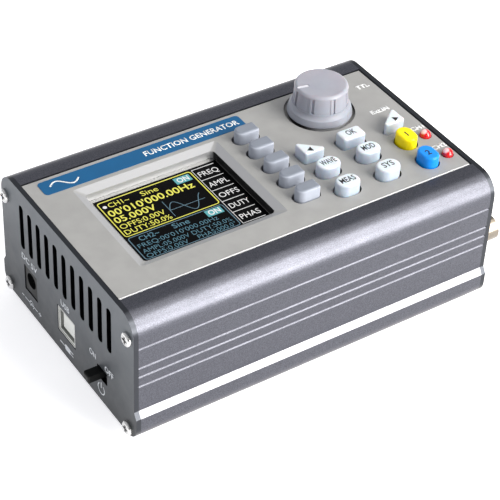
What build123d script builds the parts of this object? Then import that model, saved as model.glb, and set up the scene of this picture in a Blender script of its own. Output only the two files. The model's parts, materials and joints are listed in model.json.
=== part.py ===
"""Bench function generator: extruded case, control panel, keys, encoder, boards and connectors.

The origin is the centre of the plane that the four feet stand on. +Z is up, -Y faces the user,
and X runs along the case from the power end (-X) to the signal end (+X).
"""
from build123d import *
import os

os.makedirs("parts", exist_ok=True)

# Case
CASE_LENGTH = 146.0        # over the two end plates
PLATE_T = 1.8
CASE_BOTTOM = 2.7          # height of the feet
CASE_TOP = 55.0
BAND_Y = 47.5              # half width of the lower band
WALL_Y = 46.0              # half width of the upper wall
LEDGE_LOW = 13.2
LEDGE_HIGH = 15.7
CORNER_R = 6.0
SHOULDER_R = 8.0
WALL_T = 1.6
FLOOR_R = 2.0              # inside corners at the floor
BODY_X = CASE_LENGTH / 2 - PLATE_T
PLATE_X = CASE_LENGTH / 2
GROOVE_Z = (42.9, 34.6, 30.7, 26.5)
GROOVE_W = 0.8
GROOVE_DEPTH = 0.5
PANEL_RAIL_Y = 35.9         # rails beside the panel opening, each with a slot for a tongue
PANEL_RAIL_Z = (51.2, 54.0)
PANEL_RAIL_W = 4.0
PANEL_SIDE_GAP = 0.2
GUIDE_Y = 43.4             # ribs above and below the main board
GUIDE_Z = (9.5, 12.3)
GUIDE_SIZE = (2.4, 1.0)
SCREW_Y = 42.4
SCREW_Z = (6.0, 45.7)
PORT_R = 2.6
PORT_HOLE_R = 1.3
PLATE_HOLE_R = 1.6

# Control panel
PANEL_TOP = 54.9
PANEL_T = 2.4
PANEL_BOTTOM = PANEL_TOP - PANEL_T
PANEL_X = (-71.1, 70.4)    # the sheet ends short of the right end plate
PANEL_Y = 33.9
PANEL_EDGE = 0.5           # chamfer along the front and back
TONGUE_Y = 35.4
TONGUE_T = 0.9
SLOT_GAP = 0.1
PLAIN_R = 1.3              # corners of the square-ended keys
SOFT_CORNER_R = 0.8

# Display
SCREEN_X = (-54.4, -2.7)   # edges of the opening
SCREEN_Y = (-20.5, 19.8)
BEVEL_W = 2.95
BEVEL_DEPTH = 1.4
SCREEN_DEPTH = 4.5
SCREEN_R = 1.6
SCREEN_WALL = 1.3
GLASS_Z = PANEL_TOP - SCREEN_DEPTH
ACTIVE = (-27.6, -0.4, 49.4, 37.2)   # centre x, centre y, width, depth of the glass
GLASS_T = 0.8

# Keys: centre, plan size, height above the panel
SOFT_X = 10.0
SOFT_Y = -0.6
SOFT_PITCH = 9.57
SOFT_SIZE = (8.7, 5.2)
SOFT_HEIGHT = 4.6
SOFT_HOLE = (10.8, 6.2)
SOFT_HOLE_SHIFT = 0.15     # the hole sits a little to the right of the key
SOFT_HOLE_R = 3.0
OVAL_SIZE = (9.0, 6.8)
OVAL_HEIGHT = 4.4
OVAL_KEYS = {"wave_key": (24.3, -12.3), "mod_key": (41.5, -12.3),
             "meas_key": (24.3, -24.0), "sys_key": (41.5, -24.0)}
OK_CENTRE = (41.2, -2.1)
OK_SIZE = (9.6, 6.0)
ARROW_SIZE = (9.8, 8.2)
ARROW_FRONT_Y = -5.0
ARROW_R = 0.9
LEFT_ARROW_X = 19.8
RIGHT_ARROW_X = 63.0
CHANNEL_SIZE = (6.4, 8.7)
CHANNEL_HEIGHT = 4.3
CHANNEL_X = 58.3
CHANNEL_Y = {"channel_1_key": -12.3, "channel_2_key": -25.0}
KEY_GAP = (0.8, 0.35)      # between a key and the edge of its hole, along X and Y
ARROW_GAP = 0.45
FLANGE_LIP = 0.5           # how far a key's flange reaches past its hole
FLANGE_T = 0.9
FLANGE_TOP = PANEL_BOTTOM - 0.2
STEM_R = 1.8
KEY_TRAVEL = 0.5
LED_X = 67.1
LED_Y = {"channel_1_led": -12.3, "channel_2_led": -25.2}
LED_R = 2.1
LED_GAP = 0.2
LED_TOP = PANEL_TOP + 2.4

# Key board and what stands on it
BOARD_T = 1.6
KEY_BOARD_TOP = 42.9
KEY_BOARD_X = (-69.0, 70.0)
KEY_BOARD_Y = 32.5
SWITCH_SIZE = 6.0
SWITCH_H = 3.6
PLUNGER_R = 1.7
PLUNGER_TOP = KEY_BOARD_TOP + 5.4
STEM_BOTTOM = PLUNGER_TOP + KEY_TRAVEL + 0.1
PANEL_BOSSES = [(-66.0, 29.0), (-66.0, -29.0), (18.6, 29.6), (18.6, -30.0), (66.0, 30.0), (65.5, -31.0)]
BOSS_R = 2.2
BOSS_HOLE_R = 0.9
BOSS_HOLE_DEPTH = 7.0

# Encoder
KNOB_X = 42.8
KNOB_Y = 19.5
KNOB_RING = (11.5, 13.1)   # groove in the panel around the knob
KNOB_RING_DEPTH = 1.5
KNOB_BOTTOM = PANEL_TOP + 0.4
KNOB_TOP = PANEL_TOP + 12.2
KNOB_SKIRT_R = 12.0
SHAFT_R = 3.0
SHAFT_FLAT = 1.5           # distance from the axis to the flat
SHAFT_TOP = 65.0
ENCODER_SIZE = 12.4
ENCODER_TOP = KEY_BOARD_TOP + 6.5
BUSH_R = 3.5
BUSH_TOP = ENCODER_TOP + 5.0
BUSH_CLEARANCE = 0.08
BUSH_HOLE_R = 4.2

# Main board and the sockets on it
MAIN_BOARD_TOP = 11.7
MAIN_BOARD_X = 70.8
MAIN_BOARD_Y = 43.9
USB_Y = 0.1
USB_SIZE = (12.0, 10.9)
DC_Y = 26.2
DC_SIZE = (9.0, 11.0)
DC_BORE_Z = MAIN_BOARD_TOP + 6.5
DC_BORE_R = 3.15
DC_PIN_R = 1.05
SWITCH_Y = (-28.2, -21.4)  # power switch slot in the end plate
SWITCH_Z = (12.7, 18.1)
LEVER_SIZE = (3.6, 2.9)
LEVER_Y = -23.4
LEVER_Z = 15.6
LEVER_REACH = 5.5
BNC_Y = {"external_input_bnc": 5.7, "channel_1_bnc": -13.3, "channel_2_bnc": -32.3}
BNC_Z = 18.9
BNC_BARREL_R = 4.8
BNC_BORE_R = 4.05
BNC_THREAD_R = 6.2
BNC_REACH = 14.0
TTL_Y = 28.0
TTL_Z = 17.2
TTL_SIZE = (20.3, 8.9)
PIN_PITCH = 2.54

# Vents in the end plates
VENT_COUNT = 11
VENT_PITCH = 6.1
VENT_Y = 0.5
VENT_Z = 39.3
VENT_SIZE = (19.0, 3.0)

# Feet
FOOT_R = 5.0
FOOT_AT = (60.0, 37.0)


def case_outline():
    """Outer outline of the case section in (y, z): band, ledge, wall and round shoulders."""
    with BuildLine() as section:
        Polyline((-BAND_Y, CASE_BOTTOM), (BAND_Y, CASE_BOTTOM), (BAND_Y, LEDGE_LOW),
                 (WALL_Y, LEDGE_HIGH), (WALL_Y, CASE_TOP), (-WALL_Y, CASE_TOP),
                 (-WALL_Y, LEDGE_HIGH), (-BAND_Y, LEDGE_LOW), close=True)
    make_face(section.edges())
    fillet(vertices().group_by(Axis.Y)[0], CORNER_R)
    fillet(vertices().group_by(Axis.Y)[-1], SHOULDER_R)


def span(first, last):
    """Centre and length of a stretch."""
    return (first + last) / 2, last - first


# Case extrusion: floor, walls, shoulders with panel rails, board guides and screw ports
inner_y = WALL_Y - WALL_T
floor_z = CASE_BOTTOM + WALL_T
hollow_z, hollow_h = span(floor_z, CASE_TOP - WALL_T)
rail_z, rail_h = span(*PANEL_RAIL_Z)
slot_z, slot_h = span(PANEL_BOTTOM - SLOT_GAP, PANEL_BOTTOM + TONGUE_T + SLOT_GAP)
with BuildPart() as case_extrusion:
    with BuildSketch(Plane.YZ):
        case_outline()
        with BuildSketch(mode=Mode.PRIVATE) as hollow:
            with Locations((0, hollow_z)):
                Rectangle(2 * inner_y, hollow_h)
            fillet(vertices().group_by(Axis.Y)[0], FLOOR_R)
            fillet(vertices().group_by(Axis.Y)[-1], SHOULDER_R - WALL_T)
        add(hollow.sketch, mode=Mode.SUBTRACT)
        with Locations((PANEL_RAIL_Y, rail_z), (-PANEL_RAIL_Y, rail_z)):
            Rectangle(PANEL_RAIL_W, rail_h)
        with Locations((0, CASE_TOP)):
            Rectangle(2 * (PANEL_Y + PANEL_SIDE_GAP), 8.0, mode=Mode.SUBTRACT)
        with Locations((0, slot_z)):
            Rectangle(2 * (TONGUE_Y + 0.3), slot_h, mode=Mode.SUBTRACT)
        with GridLocations(2 * GUIDE_Y, 0, 2, 1):
            with Locations(*[(0, z) for z in GUIDE_Z]):
                Rectangle(*GUIDE_SIZE)
        ports = [(side * SCREW_Y, z) for side in (-1, 1) for z in SCREW_Z]
        with Locations(*ports):
            Circle(PORT_R)
            Circle(PORT_HOLE_R, mode=Mode.SUBTRACT)
        for side in (-1, 1):
            for z in GROOVE_Z:
                with BuildLine():
                    Polyline((side * (WALL_Y + 0.2), z - GROOVE_W * 0.7),
                             (side * (WALL_Y + 0.2), z + GROOVE_W * 0.7),
                             (side * (WALL_Y - GROOVE_DEPTH), z + 0.1), close=True)
                make_face(mode=Mode.SUBTRACT)
    extrude(amount=BODY_X, both=True)
case_extrusion.part.label = "case_extrusion"
export_step(case_extrusion.part, "parts/case_extrusion.step")


def key_outline(shape, size, grow=(0.0, 0.0)):
    """Plan of a key in its own (x, y), grown outwards along X and Y."""
    w, d = size[0] + 2 * grow[0], size[1] + 2 * grow[1]
    if shape == "oval":
        RectangleRounded(w, d, min(w, d) / 2 - 0.01)
    elif shape == "plain":
        RectangleRounded(w, d, PLAIN_R + grow[1])
    elif shape == "soft":
        left, right = -w / 2, w / 2
        with BuildLine() as plan:
            Polyline((left + d / 2, d / 2), (right, d / 2), (right, -d / 2), (left + d / 2, -d / 2))
            ThreePointArc((left + d / 2, -d / 2), (left, 0), (left + d / 2, d / 2))
        make_face(plan.edges())
        fillet(vertices().group_by(Axis.X)[-1], SOFT_CORNER_R)
    else:
        side = 1 if shape == "left_arrow" else -1
        with BuildLine() as plan:
            Polyline((0, 0), (side * size[0], 0), (0, size[1]), close=True)
        make_face(plan.edges())
        fillet(vertices(), ARROW_R)
        if grow[0]:
            offset(amount=grow[0], mode=Mode.REPLACE)


def hole_outline(shape, size, lip=0.0):
    """Plan of a key's hole in its own (x, y), grown outwards by a lip."""
    if shape == "soft":
        with Locations((SOFT_HOLE_SHIFT, 0)):
            RectangleRounded(SOFT_HOLE[0] + 2 * lip, SOFT_HOLE[1] + 2 * lip, SOFT_HOLE_R)
    elif shape in ("left_arrow", "right_arrow"):
        key_outline(shape, size, (ARROW_GAP + lip, ARROW_GAP + lip))
    else:
        key_outline(shape, size, (KEY_GAP[0] + lip, KEY_GAP[1] + lip))


# Every key: outline, centre of that outline, plan size, height, place of the stem
soft_centres = [(SOFT_X, SOFT_Y + SOFT_PITCH * (2 - row)) for row in range(5)]
keys = {}
for number, centre in enumerate(soft_centres, start=1):
    keys[f"soft_key_{number}"] = ("soft", centre, SOFT_SIZE, SOFT_HEIGHT, centre)
for name, centre in OVAL_KEYS.items():
    keys[name] = ("oval", centre, OVAL_SIZE, OVAL_HEIGHT, centre)
keys["ok_key"] = ("plain", OK_CENTRE, OK_SIZE, OVAL_HEIGHT, OK_CENTRE)
for name, corner_x, inward in (("left_arrow_key", LEFT_ARROW_X, 1), ("right_arrow_key", RIGHT_ARROW_X, -1)):
    stem = (corner_x + inward * 2.9, ARROW_FRONT_Y + 2.5)
    keys[name] = (name[:-4], (corner_x, ARROW_FRONT_Y), ARROW_SIZE, OVAL_HEIGHT, stem)
for name, y in CHANNEL_Y.items():
    keys[name] = ("oval", (CHANNEL_X, y), CHANNEL_SIZE, CHANNEL_HEIGHT, (CHANNEL_X, y))


def key_hole(name, lip=0.0):
    """The hole of a key, or the outline of its flange, drawn at its place."""
    shape, centre, size = keys[name][:3]
    with BuildSketch(mode=Mode.PRIVATE) as hole:
        hole_outline(shape, size, lip)
    with Locations(centre):
        add(hole.sketch)


# Control panel: sheet with tongues, holes, display frame and screw bosses
screen_cx, screen_w = span(*SCREEN_X)
screen_cy, screen_d = span(*SCREEN_Y)
with BuildPart() as control_panel:
    panel_cx, panel_w = span(*PANEL_X)
    with BuildSketch(Plane.XY.offset(PANEL_BOTTOM)):
        with Locations((panel_cx, 0)):
            Rectangle(panel_w, 2 * PANEL_Y)
    extrude(amount=PANEL_T)
    long_edges = edges().group_by(Axis.Z)[-1].filter_by(Axis.X)
    chamfer(long_edges, PANEL_EDGE)
    with BuildSketch(Plane.XY.offset(PANEL_BOTTOM)):
        with Locations((panel_cx, 0)):
            Rectangle(panel_w, 2 * TONGUE_Y)
    extrude(amount=TONGUE_T)
    with BuildSketch(Plane.XY.offset(GLASS_Z + 0.05)):
        with Locations((screen_cx, screen_cy)):
            RectangleRounded(screen_w + 2 * SCREEN_WALL, screen_d + 2 * SCREEN_WALL, SCREEN_R + SCREEN_WALL)
    extrude(amount=PANEL_BOTTOM - GLASS_Z)
    with BuildSketch(Plane.XY.offset(GLASS_Z)):
        with Locations((screen_cx, screen_cy)):
            RectangleRounded(screen_w, screen_d, SCREEN_R)
    extrude(amount=SCREEN_DEPTH, mode=Mode.SUBTRACT)
    with BuildSketch(Plane.XY.offset(PANEL_TOP - BEVEL_DEPTH)):
        with Locations((screen_cx, screen_cy)):
            RectangleRounded(screen_w, screen_d, SCREEN_R)
    with BuildSketch(Plane.XY.offset(PANEL_TOP)):
        with Locations((screen_cx, screen_cy)):
            RectangleRounded(screen_w + 2 * BEVEL_W, screen_d + 2 * BEVEL_W, SCREEN_R * 0.6)
    loft(mode=Mode.SUBTRACT)
    with BuildSketch(Plane.XY.offset(PANEL_TOP)):
        for name in keys:
            key_hole(name)
        with Locations((KNOB_X, KNOB_Y)):
            Circle(BUSH_HOLE_R)
        for y in LED_Y.values():
            with Locations((LED_X, y)):
                Circle(LED_R + LED_GAP)
    extrude(amount=-PANEL_T, mode=Mode.SUBTRACT)
    with BuildSketch(Plane.XY.offset(PANEL_TOP)):
        with Locations((KNOB_X, KNOB_Y)):
            Circle(KNOB_RING[1])
            Circle(KNOB_RING[0], mode=Mode.SUBTRACT)
    extrude(amount=-KNOB_RING_DEPTH, mode=Mode.SUBTRACT)
    with BuildSketch(Plane.XY.offset(KEY_BOARD_TOP)):
        with Locations(*PANEL_BOSSES):
            Circle(BOSS_R)
    extrude(amount=PANEL_BOTTOM - KEY_BOARD_TOP + 0.3)
    with BuildSketch(Plane.XY.offset(KEY_BOARD_TOP)):
        with Locations(*PANEL_BOSSES):
            Circle(BOSS_HOLE_R)
    extrude(amount=BOSS_HOLE_DEPTH, mode=Mode.SUBTRACT)
control_panel.part.label = "control_panel"
export_step(control_panel.part, "parts/control_panel.step")

# Banner label along the back of the panel
banner_x, banner_w = span(-66.4, 14.9)
banner_y, banner_d = span(24.5, 31.9)
with BuildPart() as banner_label:
    with BuildSketch(Plane.XY.offset(PANEL_TOP)):
        with Locations((banner_x, banner_y)):
            RectangleRounded(banner_w, banner_d, 1.5)
    extrude(amount=0.15)
banner_label.part.label = "banner_label"
export_step(banner_label.part, "parts/banner_label.step")


def plate_sheet():
    """End plate sketch with its vents and screw holes, in (y, z)."""
    case_outline()
    with Locations((VENT_Y, VENT_Z)):
        with GridLocations(VENT_PITCH, 0, VENT_COUNT, 1):
            SlotOverall(*VENT_SIZE, rotation=90, mode=Mode.SUBTRACT)
    corners = [(side * SCREW_Y, z) for side in (-1, 1) for z in SCREW_Z]
    with Locations(*corners):
        Circle(PLATE_HOLE_R, mode=Mode.SUBTRACT)


socket_z = MAIN_BOARD_TOP + 0.2
with BuildPart() as left_end_plate:
    with BuildSketch(Plane.YZ.offset(-PLATE_X)):
        plate_sheet()
        with Locations((USB_Y, socket_z + USB_SIZE[1] / 2)):
            Rectangle(USB_SIZE[0] + 0.6, USB_SIZE[1] + 0.6, mode=Mode.SUBTRACT)
        with Locations((DC_Y, socket_z + DC_SIZE[1] / 2)):
            Rectangle(DC_SIZE[0] + 0.4, DC_SIZE[1] + 0.2, mode=Mode.SUBTRACT)
        slot_cy, slot_w = span(*SWITCH_Y)
        slot_cz, slot_d = span(*SWITCH_Z)
        with Locations((slot_cy, slot_cz)):
            RectangleRounded(slot_w, slot_d, 0.6, mode=Mode.SUBTRACT)
    extrude(amount=PLATE_T)
left_end_plate.part.label = "left_end_plate"
export_step(left_end_plate.part, "parts/left_end_plate.step")

with BuildPart() as right_end_plate:
    with BuildSketch(Plane.YZ.offset(BODY_X)):
        plate_sheet()
        with Locations(*[(y, BNC_Z) for y in BNC_Y.values()]):
            Circle(BNC_THREAD_R + 0.1, mode=Mode.SUBTRACT)
        with Locations((TTL_Y, TTL_Z)):
            Rectangle(TTL_SIZE[0] + 0.4, TTL_SIZE[1] + 0.4, mode=Mode.SUBTRACT)
    extrude(amount=PLATE_T)
right_end_plate.part.label = "right_end_plate"
export_step(right_end_plate.part, "parts/right_end_plate.step")

# Pan-head screws that hold the end plates, threaded into the ports of the extrusion
HEAD_R = 2.6
HEAD_H = 1.4
HEAD_EDGE_R = 0.8
SHANK_R = 1.2
SHANK_L = 10.0
RECESS = (3.0, 0.8)
RECESS_DEPTH = 0.9
for name, face_x, out in (("left_plate_screws", -PLATE_X, -1), ("right_plate_screws", PLATE_X, 1)):
    with BuildPart() as plate_screws:
        head_plane = Plane(origin=(face_x, 0, 0), x_dir=(0, out, 0), z_dir=(out, 0, 0))
        spots = [(side * SCREW_Y, z) for side in (-1, 1) for z in SCREW_Z]
        with BuildSketch(head_plane):
            with Locations(*spots):
                Circle(HEAD_R)
        extrude(amount=HEAD_H)
        rims = edges().filter_by(GeomType.CIRCLE).group_by(Axis.X)[0 if out < 0 else -1]
        fillet(rims, HEAD_EDGE_R)
        with BuildSketch(head_plane):
            with Locations(*spots):
                Circle(SHANK_R)
        extrude(amount=-SHANK_L)
        with BuildSketch(head_plane.offset(HEAD_H)):
            with Locations(*spots):
                Rectangle(RECESS[0], RECESS[1])
                Rectangle(RECESS[1], RECESS[0])
        extrude(amount=-RECESS_DEPTH, mode=Mode.SUBTRACT)
    plate_screws.part.label = name
    export_step(plate_screws.part, f"parts/{name}.step")

# Rubber feet under the floor
with BuildPart() as rubber_feet:
    with BuildSketch(Plane.XY):
        with GridLocations(2 * FOOT_AT[0], 2 * FOOT_AT[1], 2, 2):
            Circle(FOOT_R)
    extrude(amount=CASE_BOTTOM)
    fillet(edges().group_by(Axis.Z)[0], 0.6)
rubber_feet.part.label = "rubber_feet"
export_step(rubber_feet.part, "parts/rubber_feet.step")

# Display: glass, the frame around it, the backlight body and its foam pads
glass_cx, glass_cy, glass_w, glass_d = ACTIVE
with BuildPart() as lcd_glass:
    with BuildSketch(Plane.XY.offset(GLASS_Z - GLASS_T)):
        with Locations((glass_cx, glass_cy)):
            Rectangle(glass_w, glass_d)
    extrude(amount=GLASS_T)
lcd_glass.part.label = "lcd_glass"
export_step(lcd_glass.part, "parts/lcd_glass.step")

FRAME_SIZE = (58.0, 43.4)
BACKLIGHT_T = 3.0
PAD_PITCH = (44.0, 30.0)
PAD_SIZE = (8.0, 6.0)
with BuildPart() as lcd_frame:
    with BuildSketch(Plane.XY.offset(GLASS_Z - GLASS_T)):
        with Locations((screen_cx, screen_cy)):
            Rectangle(*FRAME_SIZE)
        with Locations((glass_cx, glass_cy)):
            Rectangle(glass_w, glass_d, mode=Mode.SUBTRACT)
    extrude(amount=GLASS_T)
lcd_frame.part.label = "lcd_frame"
export_step(lcd_frame.part, "parts/lcd_frame.step")

with BuildPart() as lcd_backlight:
    with BuildSketch(Plane.XY.offset(GLASS_Z - GLASS_T - BACKLIGHT_T)):
        with Locations((screen_cx, screen_cy)):
            Rectangle(*FRAME_SIZE)
    extrude(amount=BACKLIGHT_T)
lcd_backlight.part.label = "lcd_backlight"
export_step(lcd_backlight.part, "parts/lcd_backlight.step")

with BuildPart() as lcd_pads:
    with BuildSketch(Plane.XY.offset(KEY_BOARD_TOP)):
        with Locations((screen_cx, screen_cy)):
            with GridLocations(*PAD_PITCH, 2, 2):
                Rectangle(*PAD_SIZE)
    extrude(amount=GLASS_Z - GLASS_T - BACKLIGHT_T - KEY_BOARD_TOP)
lcd_pads.part.label = "lcd_pads"
export_step(lcd_pads.part, "parts/lcd_pads.step")

# Keys: a rounded cap, a flange below the panel and a stem over its switch
SOFT_EDGE_R = 0.9
CAP_EDGE_R = 0.9
ARROW_EDGE_R = 0.65
for name, (shape, centre, size, height, stem_at) in keys.items():
    with BuildPart() as key:
        with BuildSketch(Plane.XY.offset(FLANGE_TOP - FLANGE_T)):
            key_hole(name, FLANGE_LIP)
        extrude(amount=FLANGE_T)
        with BuildSketch(Plane.XY.offset(FLANGE_TOP)):
            with Locations(centre):
                with BuildSketch(mode=Mode.PRIVATE) as cap:
                    key_outline(shape, size)
                add(cap.sketch)
        extrude(amount=PANEL_TOP + height - FLANGE_TOP)
        edge_r = {"soft": SOFT_EDGE_R, "left_arrow": ARROW_EDGE_R, "right_arrow": ARROW_EDGE_R}
        fillet(edges().group_by(Axis.Z)[-1], edge_r.get(shape, CAP_EDGE_R))
        with BuildSketch(Plane.XY.offset(STEM_BOTTOM)):
            with Locations(stem_at):
                Circle(STEM_R)
        extrude(amount=FLANGE_TOP - FLANGE_T - STEM_BOTTOM)
    key.part.label = name
    export_step(key.part, f"parts/{name}.step")

# Knob: conical rim, flared foot, tapered body with eight shallow panels and grooves, pointer notch
RIM_TOP = KNOB_BOTTOM + 2.4
RIM_TOP_R = 11.45
FLARE_TOP = RIM_TOP + 2.0
BODY_LOW_R = 10.4
BODY_TOP_R = 9.75
EDGE_R = 1.3
GRIP_COUNT = 8
GRIP_START = 35.5          # bearing of the first groove, in degrees from +X
GROOVE_ARC = 6.5
GROOVE_CUT = 0.65
PANEL_ARC = 41.0
PANEL_CUT = 0.2
GRIP_Z = (FLARE_TOP + 0.2, KNOB_TOP - 1.2)
POINTER_AT = 169.0         # bearing of the pointer notch
POINTER_R = (4.9, 9.6)
POINTER_W = 1.5
POINTER_DEPTH = 0.45
KNOB_WALL = 1.8            # around the hollow underneath and around the shaft
KNOB_HOLLOW = 6.5


def grip_cut(arc, depth):
    """Slice along the body of the knob, from the first bearing over an arc, cut in by a depth."""
    with BuildPart(mode=Mode.PRIVATE) as cut:
        with BuildSketch(Plane.XZ):
            with BuildLine():
                Polyline((BODY_LOW_R - depth, GRIP_Z[0]), (KNOB_SKIRT_R + 1, GRIP_Z[0]),
                         (KNOB_SKIRT_R + 1, GRIP_Z[1]), (BODY_TOP_R + 0.1 - depth, GRIP_Z[1]), close=True)
            make_face()
        revolve(axis=Axis.Z, revolution_arc=arc)
    return cut.part.rotate(Axis.Z, GRIP_START)


with BuildPart() as knob_blank:
    with BuildSketch(Plane.XZ):
        with BuildLine():
            Polyline((BODY_LOW_R, FLARE_TOP), (BODY_TOP_R, KNOB_TOP), (0, KNOB_TOP),
                     (0, KNOB_BOTTOM), (KNOB_SKIRT_R, KNOB_BOTTOM),
                     (KNOB_SKIRT_R - 0.1, KNOB_BOTTOM + 0.6), (RIM_TOP_R, RIM_TOP))
            ThreePointArc((RIM_TOP_R, RIM_TOP), (BODY_LOW_R + 0.3, (RIM_TOP + FLARE_TOP) / 2 - 0.2),
                          (BODY_LOW_R, FLARE_TOP))
        make_face()
        fillet(vertices().group_by(Axis.Y)[-1].sort_by(Axis.X)[-1], EDGE_R)
    revolve(axis=Axis.Z)
    with PolarLocations(0, GRIP_COUNT):
        add(grip_cut(PANEL_ARC, PANEL_CUT), mode=Mode.SUBTRACT)
        add(grip_cut(GROOVE_ARC, GROOVE_CUT), mode=Mode.SUBTRACT)
    with BuildSketch(Plane.XY.offset(KNOB_TOP).rotated((0, 0, POINTER_AT))):
        pointer_mid, pointer_len = span(*POINTER_R)
        with Locations((pointer_mid, 0)):
            SlotOverall(pointer_len, POINTER_W)
    extrude(amount=-POINTER_DEPTH, mode=Mode.SUBTRACT)
    with BuildSketch(Plane.XY.offset(KNOB_BOTTOM)):
        Circle(BODY_LOW_R - KNOB_WALL)
        Circle(SHAFT_R + KNOB_WALL, mode=Mode.SUBTRACT)
    extrude(amount=KNOB_HOLLOW, mode=Mode.SUBTRACT)
    with BuildSketch(Plane.XY.offset(KNOB_BOTTOM)):
        Circle(SHAFT_R)
        with Locations((0, SHAFT_FLAT + SHAFT_R)):
            Rectangle(2 * SHAFT_R, 2 * SHAFT_R, mode=Mode.SUBTRACT)
    extrude(amount=SHAFT_TOP - KNOB_BOTTOM, mode=Mode.SUBTRACT)
with BuildPart() as encoder_knob:
    with Locations((KNOB_X, KNOB_Y, 0)):
        add(knob_blank.part)
encoder_knob.part.label = "encoder_knob"
export_step(encoder_knob.part, "parts/encoder_knob.step")

with BuildPart() as encoder_shaft:
    with BuildSketch(Plane.XY.offset(ENCODER_TOP + 0.2)):
        with Locations((KNOB_X, KNOB_Y)):
            Circle(SHAFT_R)
    extrude(amount=SHAFT_TOP - ENCODER_TOP - 0.2)
    with BuildSketch(Plane.XY.offset(KNOB_BOTTOM)):
        with Locations((KNOB_X, KNOB_Y + SHAFT_FLAT + SHAFT_R)):
            Rectangle(2 * SHAFT_R, 2 * SHAFT_R)
    extrude(amount=SHAFT_TOP - KNOB_BOTTOM, mode=Mode.SUBTRACT)
encoder_shaft.part.label = "encoder_shaft"
export_step(encoder_shaft.part, "parts/encoder_shaft.step")

with BuildPart() as encoder_body:
    with BuildSketch(Plane.XY.offset(KEY_BOARD_TOP)):
        with Locations((KNOB_X, KNOB_Y)):
            RectangleRounded(ENCODER_SIZE, ENCODER_SIZE, 0.6)
    extrude(amount=ENCODER_TOP - KEY_BOARD_TOP)
    with BuildSketch(Plane.XY.offset(ENCODER_TOP)):
        with Locations((KNOB_X, KNOB_Y)):
            Circle(BUSH_R)
    extrude(amount=BUSH_TOP - ENCODER_TOP)
    with BuildSketch(Plane.XY.offset(ENCODER_TOP)):
        with Locations((KNOB_X, KNOB_Y)):
            Circle(SHAFT_R + BUSH_CLEARANCE)
    extrude(amount=BUSH_TOP - ENCODER_TOP, mode=Mode.SUBTRACT)
encoder_body.part.label = "encoder_body"
export_step(encoder_body.part, "parts/encoder_body.step")

# Channel lamps: round lens with a collar, and the wire legs that hold them above the board
LENS_BOTTOM = 50.2
LENS_COLLAR = 0.45
COLLAR_T = 1.0
LEG_W = 0.5
for name, y in LED_Y.items():
    with BuildPart() as led:
        with BuildSketch(Plane.XY.offset(LENS_BOTTOM)):
            with Locations((LED_X, y)):
                Circle(LED_R + LENS_COLLAR)
        extrude(amount=COLLAR_T)
        with BuildSketch(Plane.XY.offset(LENS_BOTTOM)):
            with Locations((LED_X, y)):
                Circle(LED_R)
        extrude(amount=LED_TOP - LENS_BOTTOM)
        fillet(edges().group_by(Axis.Z)[-1], LED_R - 0.05)
    led.part.label = name
    export_step(led.part, f"parts/{name}.step")

with BuildPart() as led_legs:
    with BuildSketch(Plane.XY.offset(KEY_BOARD_TOP)):
        for y in LED_Y.values():
            with Locations((LED_X, y)):
                with GridLocations(PIN_PITCH, 0, 2, 1):
                    Rectangle(LEG_W, LEG_W)
    extrude(amount=LENS_BOTTOM - KEY_BOARD_TOP)
led_legs.part.label = "led_legs"
export_step(led_legs.part, "parts/led_legs.step")

# Key board under the panel
board_cx, board_w = span(*KEY_BOARD_X)
with BuildPart() as key_board:
    with BuildSketch(Plane.XY.offset(KEY_BOARD_TOP - BOARD_T)):
        with Locations((board_cx, 0)):
            RectangleRounded(board_w, 2 * KEY_BOARD_Y, 1.0)
        with Locations(*PANEL_BOSSES):
            Circle(BOSS_HOLE_R + 0.25, mode=Mode.SUBTRACT)
    extrude(amount=BOARD_T)
key_board.part.label = "key_board"
export_step(key_board.part, "parts/key_board.step")

stems = [key[4] for key in keys.values()]
with BuildPart() as key_switch_bodies:
    with BuildSketch(Plane.XY.offset(KEY_BOARD_TOP)):
        with Locations(*stems):
            RectangleRounded(SWITCH_SIZE, SWITCH_SIZE, 0.4)
    extrude(amount=SWITCH_H)
key_switch_bodies.part.label = "key_switch_bodies"
export_step(key_switch_bodies.part, "parts/key_switch_bodies.step")

with BuildPart() as key_switch_plungers:
    with BuildSketch(Plane.XY.offset(KEY_BOARD_TOP + SWITCH_H)):
        with Locations(*stems):
            Circle(PLUNGER_R)
    extrude(amount=PLUNGER_TOP - KEY_BOARD_TOP - SWITCH_H)
    chamfer(edges().group_by(Axis.Z)[-1], 0.2)
key_switch_plungers.part.label = "key_switch_plungers"
export_step(key_switch_plungers.part, "parts/key_switch_plungers.step")

# Screws that hold the key board to the panel bosses
BOARD_SCREW_HEAD_R = 1.9
BOARD_SCREW_HEAD_H = 1.3
with BuildPart() as panel_screws:
    with BuildSketch(Plane.XY.offset(KEY_BOARD_TOP - BOARD_T - BOARD_SCREW_HEAD_H)):
        with Locations(*PANEL_BOSSES):
            Circle(BOARD_SCREW_HEAD_R)
    extrude(amount=BOARD_SCREW_HEAD_H)
    with BuildSketch(Plane.XY.offset(KEY_BOARD_TOP - BOARD_T)):
        with Locations(*PANEL_BOSSES):
            Circle(BOSS_HOLE_R - 0.05)
    extrude(amount=BOARD_T + BOSS_HOLE_DEPTH - 1.5)
panel_screws.part.label = "panel_screws"
export_step(panel_screws.part, "parts/panel_screws.step")

# Main board in the guides of the extrusion, with its largest parts
with BuildPart() as main_board:
    with BuildSketch(Plane.XY.offset(MAIN_BOARD_TOP - BOARD_T)):
        Rectangle(2 * MAIN_BOARD_X, 2 * MAIN_BOARD_Y)
    extrude(amount=BOARD_T)
main_board.part.label = "main_board"
export_step(main_board.part, "parts/main_board.step")

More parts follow.
